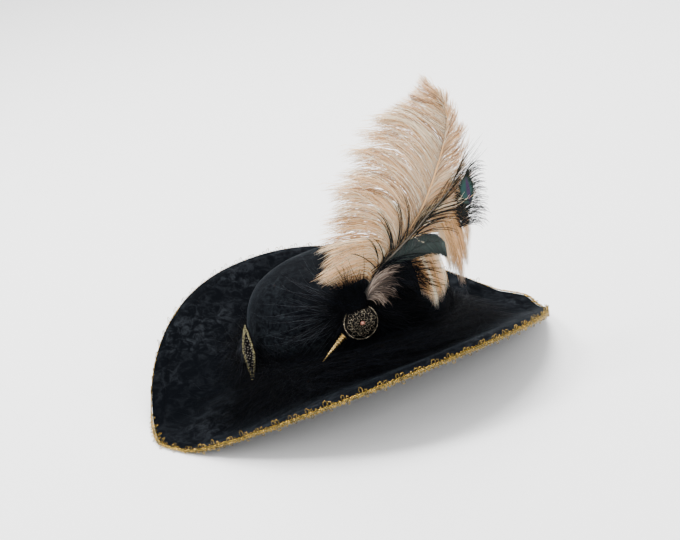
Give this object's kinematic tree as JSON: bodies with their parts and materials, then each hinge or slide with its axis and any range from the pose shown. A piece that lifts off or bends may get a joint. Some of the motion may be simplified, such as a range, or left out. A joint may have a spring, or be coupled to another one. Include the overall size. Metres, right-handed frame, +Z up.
{
  "type": "pirate hat",
  "caption": "Black velvet pirate hat, brim turned up along both sides, with gold braid, fluffy band, round brooch, lozenge badge and a plume; rests on its tips.",
  "frame": {"origin": "middle of the hat's outline seen from above, on the surface that its front and back tips rest on; it is also straight under the middle of the head opening", "axes": "+Z up; -Y to the front tip of the brim; +X to the wearer's left, where the brooch and feathers are"},
  "size_m": [0.379, 0.4532, 0.2943],
  "materials": {
    "crown_velvet": "crushed black velvet, soft grey-green nap",
    "brim_velvet": "crushed black velvet over a stiffened brim, stitched hem",
    "gold_braid": "metallic gold thread, looped gimp",
    "black_marabou": "fluffy black down, fine strands",
    "badge_cloth": "black cloth under small grey beads",
    "badge_gold": "aged gold beads",
    "brooch_black": "dark ground behind scrolled wire",
    "antique_gold": "aged pale gold wire",
    "copper_bead": "coppery pink bead",
    "spike_gold": "ridged aged gold",
    "champagne_ostrich": "soft pale champagne feather",
    "pink_ostrich": "dusky pink feather tips",
    "peacock_quill": "dark brown quill",
    "peacock_eye": "iridescent teal with a dark violet middle",
    "dark_feather": "black feather with a green sheen"
  },
  "bodies": {
    "root": {"crown": "crown_velvet", "brim": "brim_velvet", "gold_braid": "gold_braid", "marabou_band": "black_marabou", "marabou_puff": "black_marabou", "front_badge_back": "badge_cloth", "front_badge_border": "badge_gold", "brooch_dome": "brooch_black", "brooch_rim": "antique_gold", "brooch_bead": "copper_bead", "brooch_spike": "spike_gold", "ostrich_plume": "champagne_ostrich", "ostrich_tuft": "pink_ostrich", "peacock_stem": "peacock_quill", "peacock_eye": "peacock_eye", "dark_feather": "dark_feather"}
  },
  "joints": []
}
